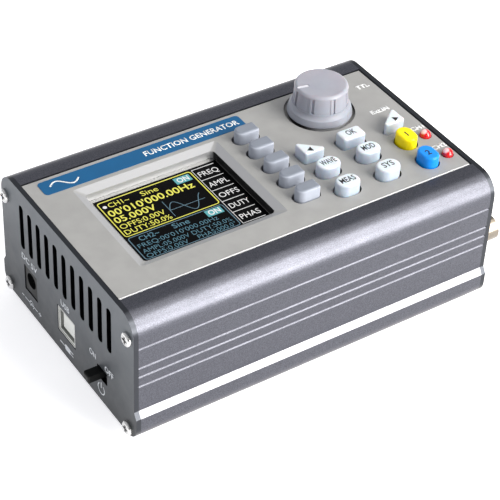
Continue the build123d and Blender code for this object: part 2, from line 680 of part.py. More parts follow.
# Centre x, centre y, side and height of each square chip
CHIPS = [(-20.0, -8.0, 20.0, 1.6), (12.0, 18.0, 14.0, 1.4), (12.0, -4.0, 10.0, 1.2), (-34.0, 20.0, 9.0, 1.4)]
with BuildPart() as board_chips:
    for x, y, side, thick in CHIPS:
        with BuildSketch(Plane.XY.offset(MAIN_BOARD_TOP)):
            with Locations((x, y)):
                Rectangle(side, side)
        extrude(amount=thick)
board_chips.part.label = "board_chips"
export_step(board_chips.part, "parts/board_chips.step")

CAPACITORS = [(-48.0, 32.0), (-48.0, 14.0), (-40.0, -14.0), (-46.0, -34.0)]
CAPACITOR_R = 4.0
CAPACITOR_H = 11.0
with BuildPart() as board_capacitors:
    with BuildSketch(Plane.XY.offset(MAIN_BOARD_TOP)):
        with Locations(*CAPACITORS):
            Circle(CAPACITOR_R)
    extrude(amount=CAPACITOR_H)
    fillet(edges().group_by(Axis.Z)[-1], 0.5)
board_capacitors.part.label = "board_capacitors"
export_step(board_capacitors.part, "parts/board_capacitors.step")

# Shield can over the output stage: thin sheet, open underneath
CAN_AT = (38.0, -22.0)
CAN_SIZE = (26.0, 34.0, 5.0)
CAN_T = 0.4
with BuildPart() as shield_can:
    with BuildSketch(Plane.XY.offset(MAIN_BOARD_TOP)):
        with Locations(CAN_AT):
            RectangleRounded(CAN_SIZE[0], CAN_SIZE[1], 1.0)
    extrude(amount=CAN_SIZE[2])
    with BuildSketch(Plane.XY.offset(MAIN_BOARD_TOP)):
        with Locations(CAN_AT):
            RectangleRounded(CAN_SIZE[0] - 2 * CAN_T, CAN_SIZE[1] - 2 * CAN_T, 1.0 - CAN_T)
    extrude(amount=CAN_SIZE[2] - CAN_T, mode=Mode.SUBTRACT)
shield_can.part.label = "shield_can"
export_step(shield_can.part, "parts/shield_can.step")

# Ribbon between the two boards, with a socket at each end
RIBBON_X = -2.0
RIBBON_Y = 34.0
RIBBON_T = 1.0
RIBBON_W = 20.0
SOCKET_H = 6.0
RIBBON_SOCKET = (24.0, 6.0)
ribbon_low = MAIN_BOARD_TOP + SOCKET_H
ribbon_high = KEY_BOARD_TOP - BOARD_T - SOCKET_H
with BuildPart() as ribbon_cable:
    with BuildSketch(Plane.YZ.offset(RIBBON_X)):
        with BuildLine():
            Line((RIBBON_Y - 3, ribbon_low + RIBBON_T / 2), (RIBBON_Y, ribbon_low + RIBBON_T / 2))
            TangentArc((RIBBON_Y, ribbon_low + RIBBON_T / 2), (RIBBON_Y, ribbon_high - RIBBON_T / 2),
                       tangent=(1, 0))
            Line((RIBBON_Y, ribbon_high - RIBBON_T / 2), (RIBBON_Y - 8, ribbon_high - RIBBON_T / 2))
            offset(amount=RIBBON_T / 2)
        make_face()
    extrude(amount=RIBBON_W / 2, both=True)
ribbon_cable.part.label = "ribbon_cable"
export_step(ribbon_cable.part, "parts/ribbon_cable.step")

with BuildPart() as ribbon_sockets:
    with BuildSketch(Plane.XY.offset(MAIN_BOARD_TOP)):
        with Locations((RIBBON_X, RIBBON_Y - 3)):
            Rectangle(*RIBBON_SOCKET)
    extrude(amount=SOCKET_H)
    with BuildSketch(Plane.XY.offset(ribbon_high)):
        with Locations((RIBBON_X, RIBBON_Y - 7)):
            Rectangle(*RIBBON_SOCKET)
    extrude(amount=SOCKET_H)
ribbon_sockets.part.label = "ribbon_sockets"
export_step(ribbon_sockets.part, "parts/ribbon_sockets.step")

# Power socket: moulded block with a round bore, and its centre pin
DC_FACE_X = -PLATE_X + 0.3
DC_DEPTH = 13.0
DC_BORE_DEPTH = 9.5
DC_PIN_LENGTH = 7.0
with BuildPart() as dc_jack:
    with BuildSketch(Plane.YZ.offset(DC_FACE_X)):
        with Locations((DC_Y, MAIN_BOARD_TOP + DC_SIZE[1] / 2 + 0.1)):
            Rectangle(*DC_SIZE)
    extrude(amount=DC_DEPTH)
    with BuildSketch(Plane.YZ.offset(DC_FACE_X)):
        with Locations((DC_Y, DC_BORE_Z)):
            Circle(DC_BORE_R)
    extrude(amount=DC_BORE_DEPTH, mode=Mode.SUBTRACT)
dc_jack.part.label = "dc_jack"
export_step(dc_jack.part, "parts/dc_jack.step")

with BuildPart() as dc_jack_pin:
    with BuildSketch(Plane.YZ.offset(DC_FACE_X + DC_BORE_DEPTH)):
        with Locations((DC_Y, DC_BORE_Z)):
            Circle(DC_PIN_R)
    extrude(amount=-DC_PIN_LENGTH)
    fillet(edges().group_by(Axis.X)[0], 0.4)
dc_jack_pin.part.label = "dc_jack_pin"
export_step(dc_jack_pin.part, "parts/dc_jack_pin.step")

# Data socket: folded shell around an insert with its plug cavity and contact tongue
USB_FACE_X = -PLATE_X + 0.1
USB_DEPTH = 16.0
USB_CAVITY_DEPTH = 9.0
USB_INSERT_BACK = 0.3       # how far the insert stands behind the shell
USB_SHELL_T = 0.4
USB_CAVITY = (9.8, 8.7)
USB_TONGUE = (7.4, 6.2)
USB_TONGUE_BACK = 0.9       # how far the tongue stands behind the shell
usb_cz = socket_z + USB_SIZE[1] / 2
usb_inner = (USB_SIZE[0] - 2 * USB_SHELL_T, USB_SIZE[1] - 2 * USB_SHELL_T)
with BuildPart() as usb_socket_shell:
    with BuildSketch(Plane.YZ.offset(USB_FACE_X)):
        with Locations((USB_Y, usb_cz)):
            RectangleRounded(*USB_SIZE, 0.5)
            Rectangle(*usb_inner, mode=Mode.SUBTRACT)
    extrude(amount=USB_DEPTH)
usb_socket_shell.part.label = "usb_socket_shell"
export_step(usb_socket_shell.part, "parts/usb_socket_shell.step")

with BuildPart() as usb_socket_insert:
    with BuildSketch(Plane.YZ.offset(USB_FACE_X + USB_INSERT_BACK)):
        with Locations((USB_Y, usb_cz)):
            Rectangle(*usb_inner)
    extrude(amount=USB_DEPTH - 2 * USB_INSERT_BACK)
    with BuildSketch(Plane.YZ.offset(USB_FACE_X + USB_INSERT_BACK)):
        with Locations((USB_Y, usb_cz)):
            Rectangle(*USB_CAVITY)
    extrude(amount=USB_CAVITY_DEPTH, mode=Mode.SUBTRACT)
    with BuildSketch(Plane.YZ.offset(USB_FACE_X + USB_TONGUE_BACK)):
        with Locations((USB_Y, usb_cz)):
            Rectangle(*USB_TONGUE)
    extrude(amount=USB_CAVITY_DEPTH)
usb_socket_insert.part.label = "usb_socket_insert"
export_step(usb_socket_insert.part, "parts/usb_socket_insert.step")

# Power slide switch: body behind the plate with a channel, and the lever in it
LEVER_TRAVEL = 2.8
LEVER_ROOT = 3.0
LEVER_EDGE_R = 0.7
CHANNEL_DEPTH = 3.5
SWITCH_DEPTH = 6.5
SWITCH_TOP = 19.6
SWITCH_WALL = 1.5
lever_gap = 0.35
channel_y = (LEVER_Y - LEVER_TRAVEL - LEVER_SIZE[0] / 2 - lever_gap, LEVER_Y + LEVER_SIZE[0] / 2 + lever_gap)
with BuildPart() as power_switch_body:
    with BuildSketch(Plane.YZ.offset(-BODY_X)):
        body_cy, body_w = span(channel_y[0] - SWITCH_WALL, channel_y[1] + SWITCH_WALL)
        body_cz, body_h = span(MAIN_BOARD_TOP, SWITCH_TOP)
        with Locations((body_cy, body_cz)):
            Rectangle(body_w, body_h)
    extrude(amount=SWITCH_DEPTH)
    with BuildSketch(Plane.YZ.offset(-BODY_X)):
        channel_cy, channel_w = span(*channel_y)
        with Locations((channel_cy, LEVER_Z)):
            Rectangle(channel_w, LEVER_SIZE[1] + 2 * lever_gap)
    extrude(amount=CHANNEL_DEPTH, mode=Mode.SUBTRACT)
power_switch_body.part.label = "power_switch_body"
export_step(power_switch_body.part, "parts/power_switch_body.step")

with BuildPart() as power_switch_lever:
    with BuildSketch(Plane.YZ.offset(-PLATE_X - LEVER_REACH)):
        with Locations((LEVER_Y, LEVER_Z)):
            Rectangle(*LEVER_SIZE)
    extrude(amount=LEVER_REACH + PLATE_T + LEVER_ROOT)
    fillet(edges().group_by(Axis.X)[0], LEVER_EDGE_R)
power_switch_lever.part.label = "power_switch_lever"
export_step(power_switch_lever.part, "parts/power_switch_lever.step")

# Signal sockets: threaded neck, bayonet barrel with two lugs, insulator and centre contact
BNC_NECK = 6.5
BNC_BORE_DEPTH = 10.0
LUG_R = 1.0
LUG_REACH = 5.6
LUG_AT = 10.6
BNC_HOUSING_W = 14.0
BNC_HOUSING_L = 12.0
BNC_HOUSING_TOP = BNC_Z + 6.8
INSULATOR_R = 2.35
INSULATOR_L = 7.5
CONTACT_R = 1.1
CONTACT_BORE_R = 0.5
CONTACT_L = 7.1
for name, y in BNC_Y.items():
    with BuildPart() as bnc:
        with BuildSketch(Plane.YZ.offset(BODY_X - 2)):
            with Locations((y, BNC_Z)):
                Circle(BNC_THREAD_R)
        extrude(amount=2 + PLATE_T + BNC_NECK)
        chamfer(edges().group_by(Axis.X)[-1], 0.5)
        with BuildSketch(Plane.YZ.offset(BODY_X)):
            with Locations((y, BNC_Z)):
                Circle(BNC_BARREL_R)
        extrude(amount=PLATE_T + BNC_REACH)
        chamfer(edges().group_by(Axis.X)[-1], 0.25)
        with BuildSketch(Plane.XY.offset(BNC_Z)):
            with Locations((PLATE_X + LUG_AT, y)):
                Circle(LUG_R)
        extrude(amount=LUG_REACH, both=True)
        with BuildSketch(Plane.YZ.offset(PLATE_X + BNC_REACH)):
            with Locations((y, BNC_Z)):
                Circle(BNC_BORE_R)
        extrude(amount=-BNC_BORE_DEPTH, mode=Mode.SUBTRACT)
    bnc.part.label = name
    export_step(bnc.part, f"parts/{name}.step")

bnc_spots = [(y, BNC_Z) for y in BNC_Y.values()]
bore_floor_x = PLATE_X + BNC_REACH - BNC_BORE_DEPTH
with BuildPart() as bnc_insulators:
    with BuildSketch(Plane.YZ.offset(bore_floor_x)):
        with Locations(*bnc_spots):
            Circle(INSULATOR_R)
            Circle(CONTACT_R, mode=Mode.SUBTRACT)
    extrude(amount=INSULATOR_L)
bnc_insulators.part.label = "bnc_insulators"
export_step(bnc_insulators.part, "parts/bnc_insulators.step")

with BuildPart() as bnc_contacts:
    with BuildSketch(Plane.YZ.offset(bore_floor_x)):
        with Locations(*bnc_spots):
            Circle(CONTACT_R)
            Circle(CONTACT_BORE_R, mode=Mode.SUBTRACT)
    extrude(amount=CONTACT_L)
bnc_contacts.part.label = "bnc_contacts"
export_step(bnc_contacts.part, "parts/bnc_contacts.step")

WASHER_R = 8.2
WASHER_T = 0.6
NUT_FLAT_R = 7.0
NUT_T = 2.2
with BuildPart() as bnc_washers:
    with BuildSketch(Plane.YZ.offset(PLATE_X)):
        with Locations(*bnc_spots):
            Circle(WASHER_R)
            Circle(BNC_THREAD_R + 0.1, mode=Mode.SUBTRACT)
    extrude(amount=WASHER_T)
bnc_washers.part.label = "bnc_washers"
export_step(bnc_washers.part, "parts/bnc_washers.step")

with BuildPart() as bnc_nuts:
    with BuildSketch(Plane.YZ.offset(PLATE_X + WASHER_T)):
        with Locations(*bnc_spots):
            RegularPolygon(NUT_FLAT_R, 6, major_radius=False)
            Circle(BNC_THREAD_R + 0.02, mode=Mode.SUBTRACT)
    extrude(amount=NUT_T)
bnc_nuts.part.label = "bnc_nuts"
export_step(bnc_nuts.part, "parts/bnc_nuts.step")

with BuildPart() as bnc_housings:
    with BuildSketch(Plane.YZ.offset(BODY_X - 2 - BNC_HOUSING_L)):
        housing_z, housing_h = span(MAIN_BOARD_TOP, BNC_HOUSING_TOP)
        with Locations(*[(y, housing_z) for y in BNC_Y.values()]):
            Rectangle(BNC_HOUSING_W, housing_h)
    extrude(amount=BNC_HOUSING_L)
bnc_housings.part.label = "bnc_housings"
export_step(bnc_housings.part, "parts/bnc_housings.step")

# Logic port: shrouded header with a key slot, and its ten pins
TTL_REACH = 1.2
TTL_DEPTH = 10.0
TTL_WALL = 1.1
TTL_CAVITY = 7.0
TTL_KEYWAY = 4.4
PIN_W = 0.64
PIN_LENGTH = 6.2
with BuildPart() as ttl_header:
    with BuildSketch(Plane.YZ.offset(PLATE_X + TTL_REACH)):
        with Locations((TTL_Y, TTL_Z)):
            Rectangle(*TTL_SIZE)
    extrude(amount=-TTL_DEPTH)
    with BuildSketch(Plane.YZ.offset(PLATE_X + TTL_REACH)):
        with Locations((TTL_Y, TTL_Z)):
            Rectangle(TTL_SIZE[0] - 2 * TTL_WALL, TTL_SIZE[1] - 2 * TTL_WALL)
        with Locations((TTL_Y, TTL_Z + TTL_SIZE[1] / 2)):
            Rectangle(TTL_KEYWAY, 3 * TTL_WALL)
    extrude(amount=-TTL_CAVITY, mode=Mode.SUBTRACT)
ttl_header.part.label = "ttl_header"
export_step(ttl_header.part, "parts/ttl_header.step")

with BuildPart() as ttl_pins:
    with BuildSketch(Plane.YZ.offset(PLATE_X + TTL_REACH - TTL_CAVITY)):
        with Locations((TTL_Y, TTL_Z)):
            with GridLocations(PIN_PITCH, PIN_PITCH, 5, 2):
                Rectangle(PIN_W, PIN_W)
    extrude(amount=PIN_LENGTH)
ttl_pins.part.label = "ttl_pins"
export_step(ttl_pins.part, "parts/ttl_pins.step")
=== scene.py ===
"""Looks of the function generator: materials, markings, screen picture, floor, light and camera."""
import json
import math

import bmesh
import bpy
from mathutils import Matrix, Vector


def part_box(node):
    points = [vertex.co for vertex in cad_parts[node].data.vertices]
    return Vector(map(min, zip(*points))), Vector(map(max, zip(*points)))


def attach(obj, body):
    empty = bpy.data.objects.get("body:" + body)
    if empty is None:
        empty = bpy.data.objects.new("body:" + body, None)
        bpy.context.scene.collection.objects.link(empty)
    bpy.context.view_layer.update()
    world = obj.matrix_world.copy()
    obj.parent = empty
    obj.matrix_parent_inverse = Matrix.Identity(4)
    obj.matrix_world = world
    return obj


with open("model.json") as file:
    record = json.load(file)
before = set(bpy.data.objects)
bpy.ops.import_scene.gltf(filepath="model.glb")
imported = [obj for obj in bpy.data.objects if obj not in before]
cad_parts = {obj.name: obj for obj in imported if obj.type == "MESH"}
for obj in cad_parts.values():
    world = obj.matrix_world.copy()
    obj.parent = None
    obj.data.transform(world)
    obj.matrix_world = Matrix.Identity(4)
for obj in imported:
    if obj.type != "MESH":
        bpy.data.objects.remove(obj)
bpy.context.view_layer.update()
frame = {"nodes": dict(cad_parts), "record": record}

MM = 0.001
CASE = "instrument"        # the body that stands still

# Sizes of the surface noise in mm
PLASTIC_MOTTLE = 6.0
METAL_MOTTLE = 8.0
PIXEL = 0.25

scene = bpy.context.scene
scene.view_settings.view_transform = "Standard"
scene.view_settings.look = "None"


# ---------------------------------------------------------------- materials

def srgb(r, g, b):
    """Linear colour of an 8-bit display colour."""
    def linear(c):
        c /= 255
        return c / 12.92 if c <= 0.04045 else ((c + 0.055) / 1.055) ** 2.4
    return (linear(r), linear(g), linear(b), 1.0)


def shaded(colour, factor):
    return tuple(min(1.0, c * factor) for c in colour[:3]) + (1.0,)


class Paint:
    """A Principled material whose colour, gloss and surface come from noise in the row frame."""

    def __init__(self, name, **sockets):
        self.material = bpy.data.materials.new(name)
        self.material.use_nodes = True
        self.tree = self.material.node_tree
        self.shader = self.tree.nodes["Principled BSDF"]
        for socket, value in sockets.items():
            self.shader.inputs[socket.replace("_", " ")].default_value = value
        self.place = self.tree.nodes.new("ShaderNodeTexCoord")

    def noise(self, size, detail=3.0):
        """Noise with features of about this size in mm."""
        mapping = self.tree.nodes.new("ShaderNodeMapping")
        mapping.inputs["Scale"].default_value = [1 / (size * MM)] * 3
        texture = self.tree.nodes.new("ShaderNodeTexNoise")
        texture.inputs["Scale"].default_value = 1.0
        texture.inputs["Detail"].default_value = detail
        self.tree.links.new(self.place.outputs["Object"], mapping.inputs["Vector"])
        self.tree.links.new(mapping.outputs["Vector"], texture.inputs["Vector"])
        return texture.outputs["Fac"]

    def colour(self, source, low, high, start=0.35, end=0.65):
        ramp = self.tree.nodes.new("ShaderNodeValToRGB")
        ramp.color_ramp.elements[0].position = start
        ramp.color_ramp.elements[0].color = low
        ramp.color_ramp.elements[1].position = end
        ramp.color_ramp.elements[1].color = high
        self.tree.links.new(source, ramp.inputs["Fac"])
        self.tree.links.new(ramp.outputs["Color"], self.shader.inputs["Base Color"])
        return self

    def roughness(self, source, low, high):
        spread = self.tree.nodes.new("ShaderNodeMapRange")
        spread.inputs["From Min"].default_value = 0.3
        spread.inputs["From Max"].default_value = 0.7
        spread.inputs["To Min"].default_value = low
        spread.inputs["To Max"].default_value = high
        self.tree.links.new(source, spread.inputs["Value"])
        self.tree.links.new(spread.outputs["Result"], self.shader.inputs["Roughness"])
        return self

    def facing(self, axis, low, high):
        """0 to 1 as the surface turns towards the axis, either way along it, in the row frame."""
        dot = self.tree.nodes.new("ShaderNodeVectorMath")
        dot.operation = "DOT_PRODUCT"
        dot.inputs[1].default_value = axis
        self.tree.links.new(self.place.outputs["Normal"], dot.inputs[0])
        size = self.tree.nodes.new("ShaderNodeMath")
        size.operation = "ABSOLUTE"
        self.tree.links.new(dot.outputs["Value"], size.inputs[0])
        spread = self.tree.nodes.new("ShaderNodeMapRange")
        spread.inputs["From Min"].default_value = low
        spread.inputs["From Max"].default_value = high
        self.tree.links.new(size.outputs["Value"], spread.inputs["Value"])
        return spread.outputs["Result"]

    def level(self):
        """Height in the row frame, in metres."""
        split = self.tree.nodes.new("ShaderNodeSeparateXYZ")
        self.tree.links.new(self.place.outputs["Object"], split.inputs["Vector"])
        return split.outputs["Z"]

    def outside(self, low, high):
        """0 between two heights in mm and 1 elsewhere."""
        within = self.tree.nodes.new("ShaderNodeMath")
        within.operation = "COMPARE"
        within.inputs[1].default_value = (low + high) / 2 * MM
        within.inputs[2].default_value = (high - low) / 2 * MM
        self.tree.links.new(self.level(), within.inputs[0])
        rest = self.tree.nodes.new("ShaderNodeMath")
        rest.operation = "SUBTRACT"
        rest.inputs[0].default_value = 1.0
        self.tree.links.new(within.outputs["Value"], rest.inputs[1])
        return rest.outputs["Value"]

    def height(self, low, high):
        """0 to 1 between two heights in mm."""
        spread = self.tree.nodes.new("ShaderNodeMapRange")
        spread.inputs["From Min"].default_value = low * MM
        spread.inputs["From Max"].default_value = high * MM
        self.tree.links.new(self.level(), spread.inputs["Value"])
        return spread.outputs["Result"]

    def over(self, factor, colour):
        """Another base colour where the factor is 0."""
        blend = self.tree.nodes.new("ShaderNodeMix")
        blend.data_type = "RGBA"
        blend.inputs["A"].default_value = colour
        base = self.shader.inputs["Base Color"]
        self.tree.links.new(factor, blend.inputs["Factor"])
        self.tree.links.new(base.links[0].from_socket, blend.inputs["B"])
        self.tree.links.new(blend.outputs["Result"], base)
        return self

    def bare(self, factor, painted, metallic, rough):
        """Bare metal of the given gloss where the factor is 0, paint where it is 1."""
        for socket, low, high in (("Metallic", metallic, painted), ("Roughness", rough, None)):
            target = self.shader.inputs[socket]
            blend = self.tree.nodes.new("ShaderNodeMix")
            blend.inputs["A"].default_value = low
            if high is None:
                self.tree.links.new(target.links[0].from_socket, blend.inputs["B"])
            else:
                blend.inputs["B"].default_value = high
            self.tree.links.new(factor, blend.inputs["Factor"])
            self.tree.links.new(blend.outputs["Result"], target)
        return self

    def bump(self, source, depth, strength):
        """Relief of the given depth in mm."""
        relief = self.tree.nodes.new("ShaderNodeBump")
        relief.inputs["Strength"].default_value = strength
        relief.inputs["Distance"].default_value = depth * MM
        self.tree.links.new(source, relief.inputs["Height"])
        self.tree.links.new(relief.outputs["Normal"], self.shader.inputs["Normal"])
        return self


def moulded_paint(name, colour, rough=0.45, grain=0.35, depth=0.006, spread=0.04, **sockets):
    """Moulded plastic or paint: faint mottling, uneven gloss and a fine texture."""
    paint = Paint(name, **sockets)
    broad = paint.noise(PLASTIC_MOTTLE)
    fine = paint.noise(grain, detail=2.0)
    paint.colour(broad, shaded(colour, 1 - spread), shaded(colour, 1 + spread))
    paint.roughness(broad, rough - 0.05, rough + 0.05)
    paint.bump(fine, depth, 0.5)
    return paint


def moulded(name, colour, **settings):
    return moulded_paint(name, colour, **settings).material


def metal_paint(name, colour, rough=0.3, grain=0.3, depth=0.004, spread=0.06):
    """Bare or anodised metal: slight tone changes and a blasted surface."""
    paint = Paint(name, Metallic=1.0)
    lines = paint.noise(grain, detail=2.0)
    broad = paint.noise(METAL_MOTTLE)
    paint.colour(lines, shaded(colour, 1 - spread), shaded(colour, 1 + spread))
    paint.roughness(broad, rough - 0.04, rough + 0.04)
    paint.bump(lines, depth, 0.6)
    return paint


def metal(name, colour, **settings):
    return metal_paint(name, colour, **settings).material


def glowing(name, colour, strength):
    """Lit part of the screen: a fine pixel pattern over an even glow."""
    paint = Paint(name, Roughness=0.4, Emission_Strength=strength)
    pixels = paint.noise(PIXEL, detail=0.0)
    ramp = paint.tree.nodes.new("ShaderNodeValToRGB")
    ramp.color_ramp.elements[0].position = 0.2
    ramp.color_ramp.elements[0].color = shaded(colour, 0.85)
    ramp.color_ramp.elements[1].position = 0.8
    ramp.color_ramp.elements[1].color = colour
    paint.tree.links.new(pixels, ramp.inputs["Fac"])
    paint.tree.links.new(ramp.outputs["Color"], paint.shader.inputs["Emission Color"])
    paint.shader.inputs["Base Color"].default_value = shaded(colour, 0.15)
    return paint.material


LEDGE_HIGHLIGHT = (13.2, 15.7)       # heights of the case's ledge, painted lighter as a highlight, in mm
PLATE_PAINTED_SHADE = (4, 48)       # heights over which the painted shade on the end plates fades out, darkest at the bottom, in mm
UP = (0, 0, 1)
ALONG = (1, 0, 0)
LAMP_GLINT = (-0.45, 0.05, 0.89)   # the side of a lamp painted pale as a highlight

shell = metal_paint("anodised", srgb(89, 90, 98), rough=0.34, grain=0.28, depth=0.05, spread=0.25)
# Painted highlight: the case's ledge band is given a lighter colour than the rest of the case.
shell.over(shell.outside(*LEDGE_HIGHLIGHT), srgb(128, 129, 134))
anodised = shell.material
sheet = moulded_paint("panel_grey", srgb(153, 153, 153), rough=0.42, grain=0.3)
top_face = sheet.facing(UP, 0.92, 0.97)
sheet.over(top_face, srgb(168, 169, 173)).bare(top_face, painted=0.0, metallic=0.3, rough=0.4)
# Painted shade: faces turned along the row, such as the side walls of the screen recess and of the key holes,
# are near black.
sheet.over(sheet.facing(ALONG, 0.9, 0.6), srgb(26, 26, 28))
panel_grey = sheet.material
plate = moulded_paint("plate_paint", srgb(92, 97, 103), rough=0.48, grain=0.25)
plate_face = plate.facing(ALONG, 0.3, 0.6)
# Painted shade: the end plates darken towards the bottom.
plate.over(plate.height(*PLATE_PAINTED_SHADE), srgb(46, 49, 53))
# Bare metal on the plates' edges and vent walls, with its colour darkened: painted shade along the edges and
# the gap beside the case.
plate.over(plate_face, srgb(62, 64, 69)).bare(plate_face, painted=0.35, metallic=1.0, rough=0.28)
plate_paint = plate.material
banner_blue = moulded("banner_blue", srgb(4, 84, 132), rough=0.35, grain=0.8, depth=0.002,
                      Specular_IOR_Level=0.3)
knob_grey = moulded("knob_grey", srgb(154, 155, 167), rough=0.4, grain=0.4, Subsurface_Weight=0.1)
soft = moulded_paint("soft_grey", srgb(126, 132, 144), rough=0.55, grain=0.4, Specular_IOR_Level=0.3)
# Painted light: the soft keys' sides are lighter than their tops.
soft.over(soft.facing(UP, 0.5, 0.9), srgb(166, 172, 186))
soft_grey = soft.material
# Painted light: the white keys glow faintly, standing in for light that passes through them.
clear = moulded_paint("clear_white", srgb(210, 217, 225), rough=0.35, grain=0.6, depth=0.003, spread=0.02,
                      Subsurface_Weight=0.25, Subsurface_Scale=0.003, Emission_Color=(0.85, 0.92, 1, 1),
                      Emission_Strength=0.03)
# Painted shade: the white keys' sides are darker than their tops.
clear.over(clear.facing(UP, 0.5, 0.9), srgb(178, 189, 204))
clear_white = clear.material
key_yellow = moulded("key_yellow", srgb(250, 226, 0), rough=0.38, grain=0.5, Specular_IOR_Level=0.35)
key_blue = moulded("key_blue", srgb(14, 138, 238), rough=0.38, grain=0.5, Specular_IOR_Level=0.35)
lamp = moulded_paint("lamp_red", srgb(250, 206, 210), rough=0.12, grain=1.0, depth=0.002, Coat_Weight=0.6)
# Painted highlight: each lamp is pale where it faces along LAMP_GLINT and red elsewhere.
lamp.over(lamp.facing(LAMP_GLINT, 0.78, 0.93), srgb(206, 8, 22))
lamp_red = lamp.material
screw_steel = metal("screw_steel", srgb(205, 205, 205), rough=0.25, grain=0.4)
bright_steel = metal("bright_steel", srgb(190, 190, 188), rough=0.28, grain=0.5)
nickel = metal("nickel", srgb(136, 128, 118), rough=0.2, grain=0.6, depth=0.002)
contact_brass = metal("contact_brass", srgb(214, 178, 96), rough=0.25, grain=0.5)
can_aluminium = metal("can_aluminium", srgb(205, 206, 208), rough=0.3, grain=0.5)
dark_plastic = moulded("dark_plastic", srgb(13, 14, 15), rough=0.45, grain=0.3, Specular_IOR_Level=0.2)
black_rubber = moulded("black_rubber", srgb(22, 22, 23), rough=0.75, grain=0.25, depth=0.012)
block = moulded_paint("ivory", srgb(214, 216, 212), rough=0.35, grain=0.4)
# Painted shade: faces not turned along the row, such as the walls inside the socket openings, are darker.
block.over(block.facing(ALONG, 0.4, 0.8), srgb(150, 152, 148))
ivory = block.material
cable_grey = moulded("cable_grey", srgb(150, 150, 154), rough=0.5, grain=0.6)
board_green = moulded("board_green", srgb(24, 92, 52), rough=0.3, grain=1.2, spread=0.12)
screen_black = moulded("screen_black", srgb(3, 3, 4), rough=0.3, grain=1.0, depth=0.001,
                       Specular_IOR_Level=0.05)
ink_white = moulded("ink_white", srgb(228, 230, 232), rough=0.55, grain=0.2)
ink_pale = moulded("ink_pale", srgb(212, 212, 222), rough=0.5, grain=0.2)
ink_grey = moulded("ink_grey", srgb(198, 202, 208), rough=0.55, grain=0.2)
ink_black = moulded("ink_black", srgb(24, 24, 28), rough=0.5, grain=0.2)
glow_yellow = glowing("glow_yellow", srgb(236, 232, 92), 0.9)
glow_teal = glowing("glow_teal", srgb(96, 148, 168), 0.65)
glow_line = glowing("glow_line", srgb(104, 140, 158), 0.7)
glow_white = glowing("glow_white", srgb(236, 236, 236), 0.9)
glow_badge = glowing("glow_badge", srgb(92, 176, 184), 0.8)

slot_paint = {
    "anodised_case": anodised, "panel_grey": panel_grey, "banner_blue": banner_blue,
    "plate_paint": plate_paint, "screw_steel": screw_steel, "foot_rubber": black_rubber,
    "screen_glass": screen_black, "bright_steel": bright_steel, "dark_plastic": dark_plastic,
    "knob_grey": knob_grey, "lamp_red": lamp_red, "board_green": board_green,
    "can_aluminium": can_aluminium, "cable_grey": cable_grey, "ivory_plastic": ivory,
    "nickel": nickel, "contact_brass": contact_brass, "soft_key_grey": soft_grey,
    "clear_white": clear_white, "key_yellow": key_yellow, "key_blue": key_blue,
}
for part in frame["record"]["subparts"]:
    for place in frame["nodes"][part["node"]].material_slots:
        place.material = slot_paint[part["material_slot"]]


# ---------------------------------------------------------------- thin pieces on the surfaces

def centre(node):
    """Middle of a node's box in mm."""
    low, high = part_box(node)
    return (low + high) / 2 / MM


def top(node):
    """Height of a node's highest point in mm."""
    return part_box(node)[1].z / MM


def drawing_plane(origin, right, up):
    """Matrix that takes drawing coordinates in mm to the row frame in metres."""
    right, up = Vector(right), Vector(up)
    m = Matrix.Identity(4)
    for column, axis in enumerate((right, up, right.cross(up))):
        m.col[column][:3] = axis * MM
    m.col[3][:3] = Vector(origin) * MM
    return m


def on_top(z):
    """Drawing plane level with the panel: its x and y are the row frame's."""
    return drawing_plane((0, 0, z), (1, 0, 0), (0, 1, 0))


def settle(name, mesh, body, material):
    """Puts a finished mesh in the scene as a piece of the object."""
    piece = bpy.data.objects.new(name, mesh)
    scene.collection.objects.link(piece)
    mesh.materials.clear()
    mesh.materials.append(material)
    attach(piece, body)
    return piece


def mesh_of(curve):
    """Mesh of a curve or text data-block."""
    holder = bpy.data.objects.new("drawing", curve)
    scene.collection.objects.link(holder)
    bpy.context.view_layer.update()
    depsgraph = bpy.context.evaluated_depsgraph_get()
    mesh = bpy.data.meshes.new_from_object(holder.evaluated_get(depsgraph))
    bpy.data.objects.remove(holder)
    return mesh


def span_of(mesh, axis):
    values = [v.co[axis] for v in mesh.vertices]
    return min(values), max(values)


def raw_letters(text, bold=0.0):
    """Mesh of one line of text at the font's own size."""
    curve = bpy.data.curves.new("letters", "FONT")
    curve.body = text
    curve.size = 1.0
    curve.resolution_u = 3
    curve.offset = bold
    return mesh_of(curve)


foot, head = span_of(raw_letters("H"), 1)
CAPITAL = head - foot      # height of a capital at the font's own size
INK = 0.03                 # thickness of a printed mark in mm


def letters(text, bold):
    """Mesh of one line of text, its capitals one unit high, starting at the origin."""
    mesh = raw_letters(text, bold)
    mesh.transform(Matrix.Scale(1 / CAPITAL, 4))
    return mesh


def thicken(mesh, depth):
    """Gives a flat drawing a back face and sides."""
    work = bmesh.new()
    work.from_mesh(mesh)
    out = bmesh.ops.extrude_face_region(work, geom=work.faces[:])
    moved = [v for v in out["geom"] if isinstance(v, bmesh.types.BMVert)]
    bmesh.ops.translate(work, vec=(0, 0, depth), verts=moved)
    bmesh.ops.recalc_face_normals(work, faces=work.faces[:])
    work.to_mesh(mesh)
    work.free()


def label(name, text, at, height, plane, body, material, width=None, align=0.5, bold=0.0):
    """Text with capitals of the given height in mm; at is the point that align falls on."""
    mesh = letters(text, bold)
    left, right = span_of(mesh, 0)
    across = height if width is None else width / (right - left)
    shift = -(left + (right - left) * align)
    mesh.transform(Matrix.Translation((shift, 0, 0)))
    mesh.transform(Matrix.Diagonal((across, height, 1, 1)))
    mesh.transform(Matrix.Translation((at[0], at[1], 0)))
    thicken(mesh, INK)
    mesh.transform(plane)
    return settle(name, mesh, body, material)


